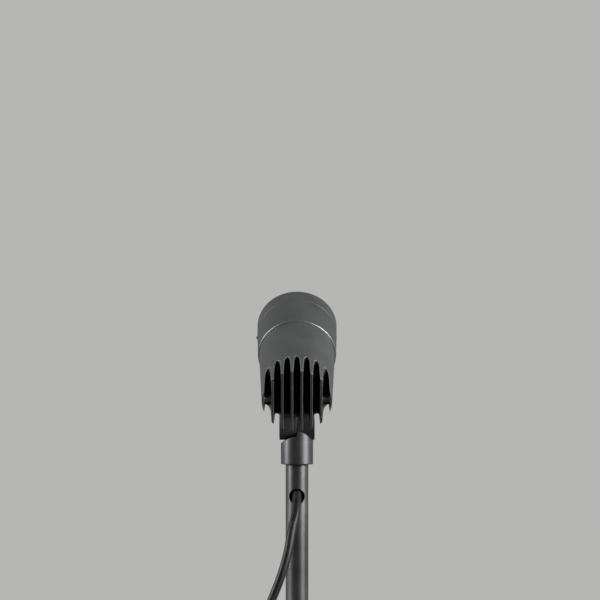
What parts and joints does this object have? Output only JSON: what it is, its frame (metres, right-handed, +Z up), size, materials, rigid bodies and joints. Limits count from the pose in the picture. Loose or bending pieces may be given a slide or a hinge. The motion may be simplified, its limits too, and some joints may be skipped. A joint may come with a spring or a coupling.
{
  "type": "garden spike spotlight",
  "caption": "Garden spotlight: finned cylindrical head on a tilting and turning knuckle, slim pole with a cable outlet, ground spike, and rubber lead with plug.",
  "frame": {"origin": "on the pole's axis at ground level, in the plane of the ground flange's underside", "axes": "+Z up along the pole, +Y the way the head points at rest, +X to the right seen from behind"},
  "size_m": [0.2329, 0.1643, 0.6865],
  "materials": {
    "head_coat": "fine-texture graphite powder coat",
    "pole_coat": "satin graphite powder coat on drawn tube",
    "stainless": "turned stainless steel",
    "clear_glass": "polished",
    "silicone": "moulded silicone",
    "bright_aluminium": "spun and bright anodised",
    "bare_aluminium": "turned",
    "thermal_silicone": "soft pad",
    "led_phosphor": "phosphor gel on ceramic",
    "white_plastic": "moulded",
    "driver_case": "moulded",
    "zinc_steel": "zinc-plated sheet",
    "terminal_plastic": "moulded",
    "brass": "turned",
    "lead_sleeve": "silicone sleeve",
    "black_nylon": "glass-filled, moulded",
    "cable_rubber": "extruded, fine chalky skin",
    "plug_rubber": "moulded",
    "nickelled_brass": "nickel-plated",
    "strap_fabric": "woven hook-and-loop strap"
  },
  "bodies": {
    "pole": {"pole_tube": "pole_coat", "cable_gland": "cable_rubber", "inner_cable": "cable_rubber", "pole_foot": "bare_aluminium", "foot_pin": "stainless", "ground_flange": "pole_coat", "spike_body": "black_nylon", "spike_stud": "stainless", "cord_free": "cable_rubber", "cord_coil": "cable_rubber", "cord_tail": "cable_rubber", "cord_tie": "strap_fabric", "plug_relief": "plug_rubber", "plug_body": "plug_rubber", "plug_pins": "nickelled_brass"},
    "swivel_base": {"knuckle_base": "pole_coat", "fixed_ear_cap": "pole_coat", "hinge_pin": "stainless", "spring_washer": "stainless", "hinge_nut": "stainless", "friction_washer": "black_nylon", "pan_bush": "black_nylon", "collar_screws": "stainless", "base_leads": "lead_sleeve"},
    "head": {"rear_housing": "head_coat", "front_barrel": "head_coat", "glare_ring": "head_coat", "ring_screws": "stainless", "front_glass": "clear_glass", "glass_gasket_front": "silicone", "glass_gasket_rear": "silicone", "reflector": "bright_aluminium", "heat_plate": "bare_aluminium", "plate_screws": "stainless", "thermal_pad": "thermal_silicone", "led_module": "led_phosphor", "led_holder": "white_plastic", "holder_screws": "stainless", "housing_o_ring": "silicone", "led_driver": "driver_case", "driver_tray": "zinc_steel", "tray_screws": "stainless", "terminal_block": "terminal_plastic", "earth_screw": "brass", "led_leads": "lead_sleeve", "head_leads": "lead_sleeve", "lead_grommet": "silicone", "moving_ear_cap": "head_coat"}
  },
  "joints": [
    {"name": "collar_pan", "type": "hinge", "parent": "pole", "child": "swivel_base", "pos_m": [0, 0, 0.3073], "axis": [0, 0, 1], "range_deg": [-170, 170]},
    {"name": "head_tilt", "type": "hinge", "parent": "swivel_base", "child": "head", "pos_m": [0, 0, 0.3419], "axis": [1, 0, 0], "range_deg": [-88, 59]}
  ]
}
